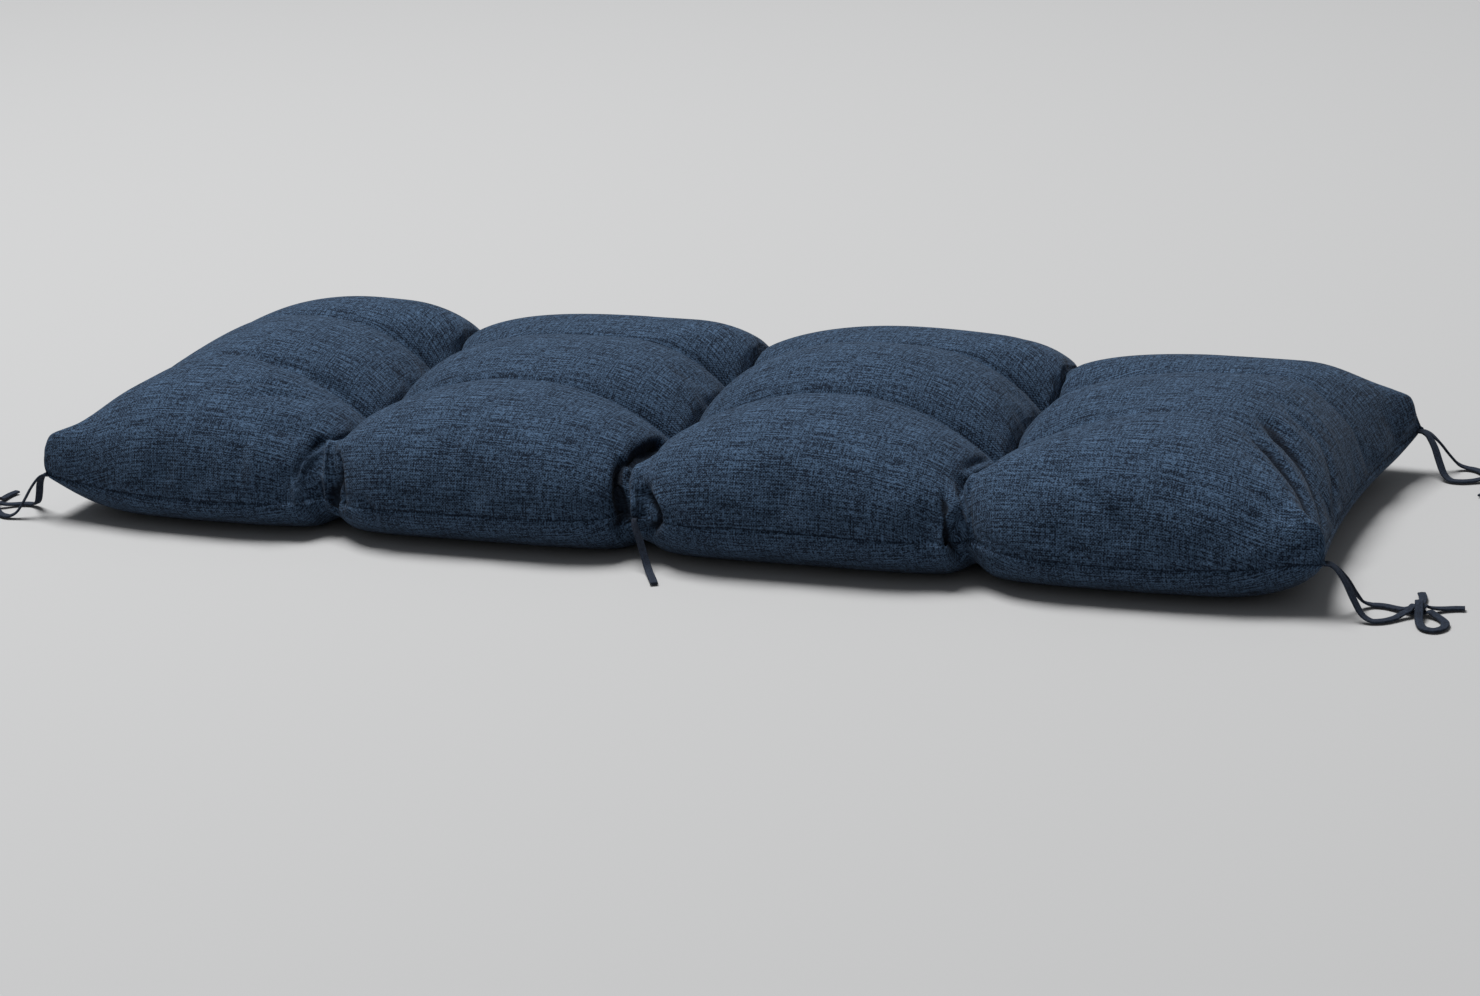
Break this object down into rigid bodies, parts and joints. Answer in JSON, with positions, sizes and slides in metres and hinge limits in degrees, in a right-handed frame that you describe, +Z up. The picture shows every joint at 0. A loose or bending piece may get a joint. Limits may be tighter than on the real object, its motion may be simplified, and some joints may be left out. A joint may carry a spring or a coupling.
{
  "type": "bench cushion",
  "caption": "Long padded seat cushion in navy woven cloth, tufted into rows of puffs, with narrow ties knotted at its corners.",
  "frame": {"origin": "on the surface that the cushion lies on, under the middle of its outline without the ties", "axes": "+X along the cushion, +Y from its front edge to its back edge, +Z up"},
  "size_m": [1.7095, 0.5533, 0.174],
  "materials": {
    "cushion": "matt navy weave with lighter and darker threads",
    "ties": "matt dark navy weave, folded and stitched"
  },
  "bodies": {
    "root": {"cushion": "cushion", "tie_front_left_bow": "ties", "tie_front_left_end": "ties", "tie_front_right_bow": "ties", "tie_front_right_end": "ties", "tie_back_right_bow": "ties", "tie_back_right_end": "ties", "tie_back_left_bow": "ties", "tie_back_left_end": "ties", "tie_front_middle": "ties"}
  },
  "joints": []
}
